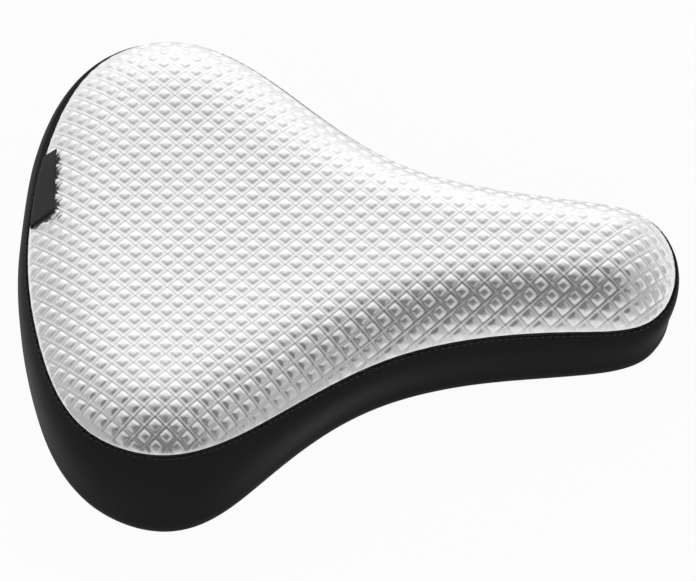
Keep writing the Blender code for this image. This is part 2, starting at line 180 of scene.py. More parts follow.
def flatten(x, y):
    """Place in the flat pattern of plan points."""
    i = np.clip((x - PATTERN_X[0]) / (PATTERN_X[1] - PATTERN_X[0]), 0.0, len(PATTERN_X) - 1.001)
    j = np.clip(np.abs(y) / (PATTERN_Y[1] - PATTERN_Y[0]), 0.0, len(PATTERN_Y) - 1.001)
    a, b = i % 1.0, j % 1.0
    i, j = i.astype(int), j.astype(int)
    long, across = ((table[i, j] * (1 - a) * (1 - b) + table[i + 1, j] * a * (1 - b)
                     + table[i, j + 1] * (1 - a) * b + table[i + 1, j + 1] * a * b)
                    for table in (PATTERN_LONG, PATTERN_ACROSS))
    return long, np.sign(y) * across


def unflatten(u, v):
    """Plan position of points of the flat pattern, closed in on step by step."""
    x, y = u + REAR_MIDDLE, v.copy()
    for _ in range(30):
        at_u, at_v = flatten(x, y)
        x = x + 0.7 * (u - at_u)
        y = y + 0.7 * (v - at_v)
    return x, y


CELL_SIDE = 0.0090 / math.sqrt(2.0)
CELL_ORIGIN = (0.1101, -0.0011)
CELL_TURN = math.radians(46.1)
CELLS_ACROSS = 45
TRIM = 0.0003

# How the sewn cover differs from its even pattern. Its rear sits a little askew, sheared about a line beside
# the middle. The sheet is drawn back at the rear edge, which bows, and drawn out over the dome by terms
# given as (power along, power across, size at a distance of one unit).
SITS_ASKEW = 0.022
ASKEW_LINE = -0.012
ASKEW_FROM, ASKEW_TO = 0.020, 0.100
REAR_STRETCH = 0.0030
REAR_FADE = 0.012
REAR_BOW = 2.6
REAR_LEAST = -0.004
DRAWN_UNIT = 0.1
DRAWN_LONG = ((1, 0, 0.00068), (0, 1, -0.00158), (2, 0, 0.00223), (1, 1, -0.00147), (0, 2, -0.00210))
DRAWN_ACROSS = ((0, 1, 0.00121), (1, 1, 0.00162))


def draw_out(u, v):
    """Where a point of the even pattern comes to lie once the sheet is pulled into shape and sewn."""
    a, b = (u - 0.5 * SEAM_LENGTH) / DRAWN_UNIT, v / DRAWN_UNIT
    from_rear = np.maximum(u - REAR_BOW * v ** 2, REAR_LEAST)
    long, across = (sum(size * a ** i * b ** j for i, j, size in terms) for terms in (DRAWN_LONG, DRAWN_ACROSS))
    return u + long - REAR_STRETCH * np.exp(-from_rear / REAR_FADE), v + across


def cell_of(u, v):
    """Cell that a point of the sewn sheet is in, whole numbers being the lines between the cells."""
    even_u, even_v = u.copy(), v.copy()
    for _ in range(8):
        at_u, at_v = draw_out(even_u, even_v)
        even_u, even_v = even_u + u - at_u, even_v + v - at_v
    even_u, even_v = even_u - CELL_ORIGIN[0], even_v - CELL_ORIGIN[1]
    return ((even_u * math.cos(CELL_TURN) + even_v * math.sin(CELL_TURN)) / CELL_SIDE + 0.5,
            (even_v * math.cos(CELL_TURN) - even_u * math.sin(CELL_TURN)) / CELL_SIDE + 0.5)


def cut_sheet(name, steps, inset):
    """Flat sheet of squares in the run of the cells, trimmed to its pattern and drawn out to the edge of it.
    Steps are the places of its lines in one cell."""
    count = CELLS_ACROSS * len(steps)
    bpy.ops.object.select_all(action="DESELECT")
    bpy.ops.mesh.primitive_grid_add(x_subdivisions=count, y_subdivisions=count, size=CELLS_ACROSS * CELL_SIDE)
    piece = bpy.context.object
    piece.name = piece.data.name = name
    points = flat_points(piece)
    line = np.rint((points[:, :2] / (CELLS_ACROSS * CELL_SIDE) + 0.5) * count).astype(int)
    cells = line // len(steps) + np.array(steps)[line % len(steps)]
    p, q = ((cells - CELLS_ACROSS / 2.0) * CELL_SIDE).T
    u, v = draw_out(CELL_ORIGIN[0] + p * math.cos(CELL_TURN) - q * math.sin(CELL_TURN),
                    CELL_ORIGIN[1] + p * math.sin(CELL_TURN) + q * math.cos(CELL_TURN))
    put_points(piece, np.stack([u, v, 0.0 * u], axis=1))

    tangent = np.gradient(HALF_SEAM, axis=0)
    tangent /= np.linalg.norm(tangent, axis=1)[:, None]
    half_edge = HALF_SEAM + inset * np.stack([tangent[:, 1], -tangent[:, 0]], axis=1)
    half_edge = np.stack(flatten(half_edge[:, 0], np.maximum(half_edge[:, 1], 0.0)), axis=1)
    inward = from_edge(np.stack([u, v], axis=1), half_edge)[0]
    bpy.ops.object.mode_set(mode="EDIT")
    bm = bmesh.from_edit_mesh(piece.data)
    bm.select_mode = {"VERT"}
    for vert, depth in zip(bm.verts, inward):
        vert.select_set(bool(depth < TRIM))
    bm.select_flush_mode()
    bmesh.update_edit_mesh(piece.data)
    bpy.ops.mesh.delete(type="VERT")
    bpy.ops.mesh.delete_loose()
    bm = bmesh.from_edit_mesh(piece.data)
    rim = [vert for vert in bm.verts if vert.is_boundary]
    at = np.array([vert.co[:2] for vert in rim])
    for vert, place in zip(rim, from_edge(at, half_edge)[1]):
        vert.co.xy = place
    bmesh.update_edit_mesh(piece.data)
    bpy.ops.object.mode_set(mode="OBJECT")
    return piece


def flat_points(piece):
    points = np.empty(3 * len(piece.data.vertices))
    piece.data.vertices.foreach_get("co", points)
    return points.reshape(-1, 3)


def put_points(piece, points):
    piece.data.vertices.foreach_set("co", points.ravel())
    piece.data.update()


def apply_modifier(piece, kind, **settings):
    modifier = piece.modifiers.new(kind.title(), kind)
    for setting, value in settings.items():
        setattr(modifier, setting, value)
    bpy.context.view_layer.objects.active = piece
    bpy.ops.object.modifier_apply(modifier=modifier.name)


def pick(piece):
    bpy.ops.object.select_all(action="DESELECT")
    piece.select_set(True)
    bpy.context.view_layer.objects.active = piece


def smooth_faces(piece, angle=40.0):
    pick(piece)
    bpy.ops.object.shade_smooth_by_angle(angle=math.radians(angle))


def finish_piece(piece, material, slot, *nodes):
    """Sets the piece as the cover sits, a little askew at the rear, and gives it its material and place."""
    points = flat_points(piece)
    askew = SITS_ASKEW * (points[:, 1] - ASKEW_LINE)
    points[:, 0] -= askew * smooth_step(-points[:, 0], ASKEW_FROM, ASKEW_TO)
    put_points(piece, points)
    piece.data.materials.clear()
    piece.data.materials.append(material)
    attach(piece, "root")
    if nodes:
        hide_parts(*nodes)


def new_material(name):
    material = bpy.data.materials.new(name)
    material.use_nodes = True
    return material, material.node_tree, material.node_tree.nodes["Principled BSDF"]


def add_node(tree, kind, inputs=None, **settings):
    """New node with its settings; an input is given by name or number, as a value or as a node's output."""
    node = tree.nodes.new("ShaderNode" + kind)
    for setting, value in settings.items():
        setattr(node, setting, value)
    for key, value in (inputs or {}).items():
        if isinstance(value, bpy.types.NodeSocket):
            tree.links.new(value, node.inputs[key])
        else:
            node.inputs[key].default_value = value
    return node


def calculate(tree, operation, *values, clamp=False):
    node = add_node(tree, "Math", dict(enumerate(values)), operation=operation, use_clamp=clamp)
    return node.outputs[0]


def tint(tree, factor, low, high):
    """Colour between two by a mask."""
    mix = add_node(tree, "Mix", {"Factor": factor}, data_type="RGBA")
    mix.inputs[6].default_value = (*low, 1.0)
    mix.inputs[7].default_value = (*high, 1.0)
    return mix.outputs[2]


def bump(tree, height, distance):
    node = add_node(tree, "Bump", {"Height": height, "Distance": distance, "Strength": 1.0})
    return node.outputs["Normal"]


foam_pad = cut_sheet("foam_pad_soft", (0.0, 0.5), FOAM_INSET)
flat = flat_points(foam_pad)
x, y = unflatten(flat[:, 0], flat[:, 1])
put_points(foam_pad, on_dome(x, y, np.full(len(x), -PANEL_THICKNESS - LAYER_GAP)))
apply_modifier(foam_pad, "SOLIDIFY", thickness=FOAM_THICKNESS, offset=-1.0)
smooth_faces(foam_pad)

foam, tree, shader = new_material("grey foam")
place = add_node(tree, "TexCoord").outputs["Object"]
bubbles = add_node(tree, "TexVoronoi", {"Vector": place, "Scale": 1400.0})
walls = calculate(tree, "MULTIPLY", bubbles.outputs["Distance"], 1.6, clamp=True)
tree.links.new(tint(tree, walls, (0.10, 0.10, 0.105), (0.34, 0.34, 0.35)), shader.inputs["Base Color"])
tree.links.new(bump(tree, walls, 0.0003), shader.inputs["Normal"])
shader.inputs["Roughness"].default_value = 0.95
finish_piece(foam_pad, foam, "foam", "foam_pad")


# Lining. A thin grey knitted cloth that closes the pad from below and lies against the saddle. It follows
# the foam, a little slack, and its edge is sewn in with the top all round.

LINING_THICKNESS = 0.0008
LINING_SAG = 0.0011
FLAT_SEAM = np.stack(flatten(HALF_SEAM[:, 0], HALF_SEAM[:, 1]), axis=1)


def map_points(piece, name, places):
    """Maps the piece by a place for each of its points."""
    uv = piece.data.uv_layers.active or piece.data.uv_layers.new(name=name)
    corner = np.empty(len(piece.data.loops), dtype=int)
    piece.data.loops.foreach_get("vertex_index", corner)
    uv.data.foreach_set("uv", places[corner].ravel())


lining = cut_sheet("lining_cloth", (0.0, 0.25, 0.5, 0.75), FOAM_INSET)
flat = flat_points(lining)
x, y = unflatten(flat[:, 0], flat[:, 1])
inward = from_edge(flat[:, :2], FLAT_SEAM)[0]
# Waves of the slack cloth, in radians to the metre along and across it.
u, v = flat[:, 0], flat[:, 1]
slack = 0.5 + 0.25 * np.sin(71.0 * u + 33.0 * v) + 0.25 * np.sin(64.0 * v - 41.0 * u)
slack += 0.2 * np.sin(330.0 * u + 4.0 * np.sin(60.0 * v))
sag = LINING_SAG * slack * smooth_step(inward, 0.004, 0.030)
depth = PANEL_THICKNESS + FOAM_THICKNESS + 2.0 * LAYER_GAP
put_points(lining, on_dome(x, y, -depth - sag))
map_points(lining, "cloth", flat[:, :2])
apply_modifier(lining, "SOLIDIFY", thickness=LINING_THICKNESS, offset=-1.0)
smooth_faces(lining, 60.0)


def group_of(name, inputs, outputs):
    """Empty shader group with its named inputs, given with their plain values, and outputs."""
    group = bpy.data.node_groups.new(name, "ShaderNodeTree")
    for label, value in inputs.items():
        kind = "NodeSocketFloat" if isinstance(value, float) else "NodeSocketVector"
        socket = group.interface.new_socket(label, in_out="INPUT", socket_type=kind)
        if isinstance(value, float):
            socket.default_value = value
    for label in outputs:
        group.interface.new_socket(label, in_out="OUTPUT", socket_type="NodeSocketFloat")
    return group, group.nodes.new("NodeGroupInput"), group.nodes.new("NodeGroupOutput")


# Threads that pass over and under each other, laid out in metres on the cloth.
weave, given, made = group_of("thread_weave", {"Cloth": None, "Threads": 1000.0, "Slant": 0.0},
                              ["Height", "Thread"])
parts = add_node(weave, "SeparateXYZ", {0: given.outputs["Cloth"]})
across = calculate(weave, "MULTIPLY", parts.outputs[0], given.outputs["Threads"])
slanted = calculate(weave, "MULTIPLY", across, given.outputs["Slant"])
along = calculate(weave, "MULTIPLY", parts.outputs[1], given.outputs["Threads"])
along = calculate(weave, "ADD", along, slanted)
warp = calculate(weave, "SINE", calculate(weave, "MULTIPLY", across, math.pi))
weft = calculate(weave, "SINE", calculate(weave, "MULTIPLY", along, math.pi))
crossing = calculate(weave, "MULTIPLY_ADD", calculate(weave, "MULTIPLY", warp, weft), 0.5, 0.5)
fuzz = add_node(weave, "TexNoise", {"Vector": given.outputs["Cloth"], "Scale": 900.0, "Detail": 3.0})
threads = calculate(weave, "MULTIPLY", crossing, 0.75)
weave.links.new(calculate(weave, "MULTIPLY_ADD", fuzz.outputs["Fac"], 0.5, threads), made.inputs["Height"])
weave.links.new(crossing, made.inputs["Thread"])


def woven(tree, threads, slant=0.0):
    """The weave laid on the piece's own cloth map."""
    node = tree.nodes.new("ShaderNodeGroup")
    node.node_tree = weave
    tree.links.new(add_node(tree, "TexCoord").outputs["UV"], node.inputs["Cloth"])
    node.inputs["Threads"].default_value = threads
    node.inputs["Slant"].default_value = slant
    return node.outputs["Height"], node.outputs["Thread"]


lining_cloth, tree, shader = new_material("grey knitted lining")
height, thread = woven(tree, 1500.0, 0.5)
tree.links.new(tint(tree, thread, (0.13, 0.13, 0.135), (0.26, 0.26, 0.27)), shader.inputs["Base Color"])
tree.links.new(bump(tree, height, 0.0003), shader.inputs["Normal"])
shader.inputs["Roughness"].default_value = 0.9
shader.inputs["Sheen Weight"].default_value = 0.15
finish_piece(lining, lining_cloth, "lining_fabric", "lining")


# Embossed top. Silver-white vinyl, heat-pressed over the foam into rows of soft raised cells with a thin
# rib between them. It is cut to the dome's pattern, sewn to the band face to face and turned over.

CELL_RISE = 0.00060
RIB_RISE = 0.00016
GROOVE_DEPTH = 0.00007
TURNED_IN = 0.0020
ALLOWANCE = 0.0056

# Places across one cell, as shares of its side: the lines of the mesh, the half width of the rib, the
# middle and half width of the groove beside it, and the foot of the raised cell. Its ridges are blunt.
CELL_LINES = (0.0, 0.06, 0.18, 0.26, 0.36, 0.5, 0.64, 0.74, 0.82, 0.94)
RIB_HALF = 0.045
GROOVE_AT, GROOVE_HALF = 0.060, 0.030
LAND = 0.18
CELL_FULLNESS = 3.3
BLUNT = 0.16

top = cut_sheet("top_panel_soft", CELL_LINES, 0.0)
flat = flat_points(top)
cell_p, cell_q = cell_of(flat[:, 0], flat[:, 1])
edge_p, edge_q = (0.5 - np.abs(c - np.floor(c) - 0.5) for c in (cell_p, cell_q))


def cell_slope(edge):
    """Height of a cell over its width, from its foot to its middle."""
    return 1.0 - (1.0 - np.clip((edge - LAND) / (0.5 - LAND), 0.0, 1.0)) ** CELL_FULLNESS


rise_p, rise_q = cell_slope(edge_p), cell_slope(edge_q)
lower = np.minimum(rise_p, rise_q)
apart = np.sqrt((rise_p - rise_q) ** 2 + BLUNT ** 2)
both = 0.5 * (rise_p + rise_q - apart + BLUNT * (1.0 - lower))
relief = CELL_RISE * np.clip(both, 0.0, None) * (lower > 0.0)
rib = np.maximum(*(np.clip(1.0 - edge / RIB_HALF, 0.0, 1.0) for edge in (edge_p, edge_q)))
groove = np.maximum(*(np.exp(-((edge - GROOVE_AT) / GROOVE_HALF) ** 2) for edge in (edge_p, edge_q)))
relief += RIB_RISE * rib - GROOVE_DEPTH * groove * (rib < 0.5)

# The cells are drawn flat next to the seam, over a width that comes and goes in slow waves.
inward = from_edge(flat[:, :2], FLAT_SEAM)[0]
u, v = flat[:, 0], flat[:, 1]
uneven = 0.5 + 0.25 * np.sin(97.0 * u + 51.0 * v) + 0.25 * np.sin(83.0 * v - 120.0 * u + 2.0)
drawn = np.clip(1.0 - inward / (0.0045 + 0.0030 * uneven), 0.0, 1.0)
relief = relief * (1.0 - 0.8 * drawn ** 1.3) * (1.0 - 0.12 * uneven) - 0.00025 * drawn ** 3
x, y = unflatten(flat[:, 0], flat[:, 1])
put_points(top, on_dome(x, y, relief))

# The sheet's edge is rolled over at the seam, turned down behind the band's lip, carried on as the seam
# allowance and folded out under the lip, which closes the seam. The rows give (drop, draw inwards), for
# the first two from the row before and for the others from the seam.
ROLLED = ((0.00012, -0.00003), (0.00030, 0.00032))
TURNED = ((TURNED_IN, 0.0016), (ALLOWANCE, 0.0018), (ALLOWANCE, -0.0003))
pick(top)
seam_way = np.gradient(SEAM, axis=0)
seam_way /= np.linalg.norm(seam_way, axis=1)[:, None]
for row, (drop, draw) in enumerate(ROLLED + TURNED):
    bpy.ops.object.mode_set(mode="EDIT")
    bpy.ops.mesh.select_mode(type="EDGE")
    bpy.ops.mesh.select_all(action="DESELECT")
    bpy.ops.mesh.select_non_manifold(extend=False, use_wire=False, use_multi_face=False,
                                     use_non_contiguous=False, use_verts=False)
    bpy.ops.mesh.extrude_region_move()
    bm = bmesh.from_edit_mesh(top.data)
    rim = [vert for vert in bm.verts if vert.select]
    nearest = from_edge(np.array([vert.co[:2] for vert in rim]), HALF_SEAM)[1]
    rim_height = seam_height(nearest[:, 0], nearest[:, 1])
    for i, vert in enumerate(rim):
        k = int(((SEAM - nearest[i]) ** 2).sum(axis=1).argmin())
        inwards = Vector((seam_way[k, 1], -seam_way[k, 0]))
        if row < len(ROLLED):
            vert.co.xy += draw * inwards
            vert.co.z -= drop
        else:
            vert.co = (*(Vector(nearest[i]) + draw * inwards), rim_height[i] - drop)
    bmesh.update_edit_mesh(top.data)
    bpy.ops.object.mode_set(mode="OBJECT")

under = flat_points(top)[len(flat):]
under_cells = np.stack(cell_of(*flatten(under[:, 0], under[:, 1])), axis=1)
map_points(top, "cells", np.vstack([np.stack([cell_p, cell_q], axis=1), under_cells]))
smooth_faces(top, 180.0)

# Fine leather-like grain of pressed vinyl, with slow waves from its making.
grain, given, made = group_of("vinyl_grain", {"Place": None, "Grain": 2600.0}, ["Height", "Tone"])
pores = add_node(grain, "TexVoronoi", {"Vector": given.outputs["Place"], "Scale": given.outputs["Grain"]})
creases = add_node(grain, "TexNoise", {"Vector": given.outputs["Place"], "Scale": 420.0, "Detail": 4.0})
slow = add_node(grain, "TexNoise", {"Vector": given.outputs["Place"], "Scale": 26.0, "Detail": 2.0})
pitted = calculate(grain, "MULTIPLY", pores.outputs["Distance"], 0.4)
grain.links.new(calculate(grain, "MULTIPLY_ADD", creases.outputs["Fac"], 0.6, pitted), made.inputs["Height"])
grain.links.new(slow.outputs["Fac"], made.inputs["Tone"])


def grained(tree, scale):
    """The grain laid on the piece, with so many pores to the metre."""
    node = tree.nodes.new("ShaderNodeGroup")
    node.node_tree = grain
    tree.links.new(add_node(tree, "TexCoord").outputs["Object"], node.inputs["Place"])
    node.inputs["Grain"].default_value = scale
    return node.outputs["Height"], node.outputs["Tone"]


silver, tree, shader = new_material("silver vinyl")
height, tone = grained(tree, 2600.0)
# A thin grey line of painted shade runs beside each rib, in the groove there.
lattice = add_node(tree, "SeparateXYZ", {0: add_node(tree, "TexCoord").outputs["UV"]})
edges = []
for axis in (0, 1):
    middle = calculate(tree, "SUBTRACT", calculate(tree, "FRACT", lattice.outputs[axis]), 0.5)
    edges.append(calculate(tree, "SUBTRACT", 0.5, calculate(tree, "ABSOLUTE", middle)))
to_rib = calculate(tree, "MINIMUM", *edges)
line = add_node(tree, "MapRange", {0: to_rib, 1: 0.02, 2: 0.07, 3: 0.0, 4: 1.0}).outputs[0]
past = add_node(tree, "MapRange", {0: to_rib, 1: 0.07, 2: 0.12, 3: 1.0, 4: 0.0}).outputs[0]
painted_groove_shade = calculate(tree, "MULTIPLY", line, past)
# The colour darkens with the vinyl's slow tone and with the painted shade in the grooves beside the ribs.
tone_and_painted_shade = calculate(tree, "MULTIPLY_ADD", tone, 0.25, calculate(tree, "MULTIPLY", painted_groove_shade, 0.55), clamp=True)
tree.links.new(tint(tree, tone_and_painted_shade, (0.95, 0.95, 0.95), (0.69, 0.69, 0.70)), shader.inputs["Base Color"])
tree.links.new(calculate(tree, "MULTIPLY_ADD", tone, 0.10, 0.19), shader.inputs["Roughness"])
tree.links.new(bump(tree, height, 0.00006), shader.inputs["Normal"])
shader.inputs["Metallic"].default_value = 0.85
finish_piece(top, silver, "silver_vinyl", "top_panel")


# Side band. One strip of smooth black vinyl, sewn to the top all round. It is turned over at the seam,
# swells over the saddle's edge, rounds under it and ends in a hem that is folded back over the elastic.

RING_STEPS = 480
CORNER_WEIGHT = 0.012
BAND_THICKNESS = 0.0011
FOOT_OFFSETS = (0.0050, 0.0060, 0.0070, 0.0004, -0.0026, -0.0008, 0.0010, 0.0008, -0.0016)
FOOT_RADIUS = 0.0090
SIDE_SWELL = 0.0084
HEM_WIDTH = 0.0065
FOLD_RADIUS = 0.0031
FLAP_WIDTH = 0.0075
LIP_OUT, LIP_DROP = 0.0013, 0.0023
GATHER_RISE = 0.0009

# The ring of the strip's steps lies on the seam, with more of them where it turns.
step_length = np.linalg.norm(np.diff(SEAM, axis=0), axis=1)
seam_run = np.concatenate([[0.0], np.cumsum(step_length)])
course = np.unwrap(np.arctan2(*np.gradient(SEAM, axis=0).T[::-1]))
turning = np.abs(np.gradient(course)) / np.concatenate([step_length, step_length[-1:]])
share_of_steps = step_length * (1.0 + CORNER_WEIGHT * 0.5 * (turning[1:] + turning[:-1]))
weight = np.concatenate([[0.0], np.cumsum(share_of_steps)])
ring_at = np.linspace(0.0, weight[-1], RING_STEPS + 1)[:-1]
RING = np.stack([np.interp(ring_at, weight, SEAM[:, axis]) for axis in (0, 1)], axis=1)
RING_RUN = np.interp(ring_at, weight, seam_run)
ring_way = np.roll(RING, -1, axis=0) - np.roll(RING, 1, axis=0)
OUTWARD = np.stack([-ring_way[:, 1], ring_way[:, 0]], axis=1) / np.linalg.norm(ring_way, axis=1)[:, None]
RING_HEIGHT = seam_height(RING[:, 0], RING[:, 1])
RING_FOOT = station_curve(FOOT_OFFSETS, (RING[:, 0] - REAR_MIDDLE) / SEAM_LENGTH)


def ring_strip(name, rows):
    """Strip that runs round the seam: a ring laid on the first row and extruded on to each next one. Rows are
    given as (offset out from the seam, height) at every step of the ring."""
    rows = [np.column_stack([RING + np.broadcast_to(out, len(RING))[:, None] * OUTWARD,
                             np.broadcast_to(level, len(RING))]) for out, level in rows]
    bpy.ops.object.select_all(action="DESELECT")
    bpy.ops.mesh.primitive_circle_add(vertices=len(RING), radius=0.1)
    strip = bpy.context.object
    strip.name = strip.data.name = name
    bpy.ops.object.mode_set(mode="EDIT")
    bpy.ops.mesh.select_mode(type="EDGE")
    bpy.ops.mesh.select_all(action="SELECT")
    bm = bmesh.from_edit_mesh(strip.data)
    step = bm.verts.layers.int.new("ring_step")
    for i, vert in enumerate(bm.verts):
        vert[step] = i
        vert.co = rows[0][i]
    bmesh.update_edit_mesh(strip.data)
    for row in rows[1:]:
        bpy.ops.mesh.extrude_region_move()
        bm = bmesh.from_edit_mesh(strip.data)
        step = bm.verts.layers.int["ring_step"]
        for vert in bm.verts:
            if vert.select:
                vert[step] += len(RING)
                vert.co = row[vert[step] % len(RING)]
        bmesh.update_edit_mesh(strip.data)
    bpy.ops.object.mode_set(mode="OBJECT")
    return strip


def face_out(strip, first_row, second_row):
    """Turns the strip's faces to the left of its run, seen along the ring."""
    (out_a, level_a), (out_b, level_b) = ((np.broadcast_to(value, len(RING))[0] for value in row)
                                          for row in (first_row, second_row))
    run = np.array((out_b - out_a, level_b - level_a))
    wanted = Vector((*(-run[1] * OUTWARD[0]), run[0]))
    between = Vector((*(RING[0] + 0.5 * (out_a + out_b) * OUTWARD[0]), 0.5 * (level_a + level_b)))
    near = min(strip.data.polygons, key=lambda face: (face.center - between).length)
    if near.normal.dot(wanted) < 0.0:
        strip.data.flip_normals()


def map_cloth(strip, rows):
    """Cloth map of a ring strip in metres: along the seam and across the rows."""
    outs = np.array([np.broadcast_to(out, len(RING)).mean() for out, _ in rows])
    levels = np.array([np.broadcast_to(level, len(RING)).mean() for _, level in rows])
    across = np.concatenate([[0.0], np.cumsum(np.hypot(np.diff(outs), np.diff(levels)))])
    step = np.empty(len(strip.data.vertices), dtype=int)
    strip.data.attributes["ring_step"].data.foreach_get("value", step)
    corner = np.empty(len(strip.data.loops), dtype=int)
    strip.data.loops.foreach_get("vertex_index", corner)
    at_step = step[corner]
    column = at_step % len(RING)
    face_start = np.array([face.loop_start for face in strip.data.polygons])
    wraps = np.array([column[s:s + 4].max() - column[s:s + 4].min() > 2 for s in face_start])
    wrapped = np.repeat(wraps, 4)
    long = RING_RUN[column] + np.where(wrapped & (column == 0), seam_run[-1], 0.0)
    uv = strip.data.uv_layers.active or strip.data.uv_layers.new(name="cloth")
    uv.data.foreach_set("uv", np.stack([long, across[at_step // len(RING)]], axis=1).ravel())


def bezier(a, b, c, d, t):
    """Point at t = 0 to 1 on the curve from a to d that leaves towards b and comes from c."""
    return (1 - t) ** 3 * a + 3 * t * (1 - t) ** 2 * b + 3 * t ** 2 * (1 - t) * c + t ** 3 * d


def wave(run, *terms):
    """Sum of even waves round the ring, given as (count, size, start)."""
    return sum(size * np.sin(2.0 * math.pi * count * run / seam_run[-1] + start)
               for count, size, start in terms)


# How far the band stands out: it is fuller at the far rear corner, where it is less tightly drawn.
far_corner = np.exp(-((RING[:, 0] + 0.112) / 0.030) ** 2) * smooth_step(RING[:, 1], 0.010, 0.060)
far_side = smooth_step(RING[:, 1], 0.020, 0.035) * smooth_step(RING[:, 0], -0.100, -0.070)
fullness = 0.0044 * far_corner - 0.0012 * far_side
fullness += wave(RING_RUN, (3, 0.0002, 0.4), (7, 0.00015, 2.0), (12, 0.0001, 1.1))

# Rows of the strip, from its sewn edge over the lip, down the side, round the foot, in along the hem, round
# the elastic and out along the flap.
side_rows = []
for out, drop in ((0.00020, 0.0036), (0.00010, 0.0028), (0.00015, 0.0022), (0.00040, 0.0017), (0.00075, 0.0016),
                  (0.00110, 0.0018)):
    side_rows.append((out, RING_HEIGHT - drop))
side = RING_HEIGHT - LIP_DROP - FOOT_RADIUS
swell = SIDE_SWELL * (side / SEAM_HEIGHTS[0]) ** 2
for t in np.linspace(0.0, 1.0, 17):
    out = bezier(LIP_OUT, LIP_OUT + swell, RING_FOOT, RING_FOOT, t)
    level = bezier(RING_HEIGHT - LIP_DROP, RING_HEIGHT - LIP_DROP - 0.25 * side, FOOT_RADIUS + 0.30 * side,
                   np.full(len(RING), FOOT_RADIUS), t)
    side_rows.append((out + fullness * math.sin(math.pi * min(1.0, 0.15 + t) * 0.5), level))
foot_out = RING_FOOT + fullness
for turn in (15.0, 30.0, 45.0, 60.0, 75.0, 90.0):
    angle = math.radians(turn)
    side_rows.append((foot_out - FOOT_RADIUS * (1.0 - math.cos(angle)), FOOT_RADIUS * (1.0 - math.sin(angle))))
round_ring = 2.0 * math.pi * RING_RUN / seam_run[-1]
gather = 0.5 + 0.5 * np.sin(84 * round_ring + 1.4 * np.sin(11 * round_ring))
gather *= 0.75 + 0.25 * np.sin(17 * round_ring + 0.7)
hem_out = foot_out - FOOT_RADIUS
for share in (0.25, 0.5, 0.75):
    side_rows.append((hem_out - share * HEM_WIDTH, GATHER_RISE * share * gather))
for turn in (0.0, 30.0, 60.0, 90.0, 120.0, 150.0, 180.0):
    angle = math.radians(turn)
    side_rows.append((hem_out - HEM_WIDTH - FOLD_RADIUS * math.sin(angle) - 0.0004 * gather,
                      FOLD_RADIUS * (1.0 - math.cos(angle)) + GATHER_RISE * gather))
for share, level in ((0.45, 0.0048), (0.8, 0.0032), (1.0, 0.0029)):
    side_rows.append((hem_out - HEM_WIDTH + share * FLAP_WIDTH, level + 0.0006 * gather))
band = ring_strip("side_band_soft", side_rows)
face_out(band, side_rows[10], side_rows[11])
map_cloth(band, side_rows)
apply_modifier(band, "SOLIDIFY", thickness=BAND_THICKNESS, offset=-1.0)
smooth_faces(band, 60.0)

black, tree, shader = new_material("black vinyl")
height, tone = grained(tree, 3400.0)
black_tint = tint(tree, tone, (0.0205, 0.0205, 0.0208), (0.0265, 0.0265, 0.0270))
tree.links.new(black_tint, shader.inputs["Base Color"])
tree.links.new(calculate(tree, "MULTIPLY_ADD", tone, 0.12, 0.40), shader.inputs["Roughness"])
tree.links.new(bump(tree, height, 0.00004), shader.inputs["Normal"])
shader.inputs["Specular IOR Level"].default_value = 0.012
finish_piece(band, black, "black_vinyl", "side_band")


# Topstitch and hem stitch. Black thread in short stitches that sink into the vinyl. One row is sewn through
# the band and its turned allowance just under the seam, the other through the hem and its flap.

STITCH_PITCH = 0.0030
STITCH_SHARE = 0.62
STITCH_TAPER = 0.45
STITCH_SINK = 0.00022
THREAD_RADIUS = 0.00017


def stitch_row(name, line, material, slot):
    """Row of like stitches: one is shaped, repeated and bent round a closed line."""
    length = np.linalg.norm(np.diff(np.vstack([line, line[:1]]), axis=0), axis=1).sum()
    pitch = length / round(length / STITCH_PITCH)
    bpy.ops.object.select_all(action="DESELECT")
    bpy.ops.mesh.primitive_cylinder_add(vertices=8, radius=THREAD_RADIUS, depth=STITCH_SHARE * pitch,
                                        end_fill_type="NGON", rotation=(0.0, math.pi / 2.0, 0.0))
    stitch = bpy.context.object
    stitch.name = stitch.data.name = name
    bpy.ops.object.transform_apply(location=False, rotation=True, scale=True)
    bpy.ops.object.mode_set(mode="EDIT")
    bpy.ops.mesh.select_all(action="SELECT")
    bpy.ops.mesh.bisect(plane_co=(0.0, 0.0, 0.0), plane_no=(1.0, 0.0, 0.0))
    bm = bmesh.from_edit_mesh(stitch.data)
    for vert in bm.verts:
        end = abs(vert.co.x) / (0.5 * STITCH_SHARE * pitch)
        vert.co.y *= 1.0 - STITCH_TAPER * end ** 2
        vert.co.z = vert.co.z * (1.0 - STITCH_TAPER * end ** 2) - STITCH_SINK * end ** 2
    bmesh.update_edit_mesh(stitch.data)
    bpy.ops.object.mode_set(mode="OBJECT")
    apply_modifier(stitch, "ARRAY", count=round(length / pitch), use_relative_offset=False,
                   use_constant_offset=True, constant_offset_displace=(pitch, 0.0, 0.0))
    path = bpy.data.curves.new(name + "_line", "CURVE")
    path.dimensions = "3D"
    spline = path.splines.new("POLY")
    spline.points.add(len(line) - 1)
    spline.points.foreach_set("co", np.column_stack([line, np.ones(len(line))]).ravel())
    spline.use_cyclic_u = True
    guide = bpy.data.objects.new(name + "_line", path)
    bpy.context.collection.objects.link(guide)
    apply_modifier(stitch, "CURVE", object=guide, deform_axis="POS_X")
    bpy.data.objects.remove(guide, do_unlink=True)
    smooth_faces(stitch, 60.0)
    finish_piece(stitch, material, slot)


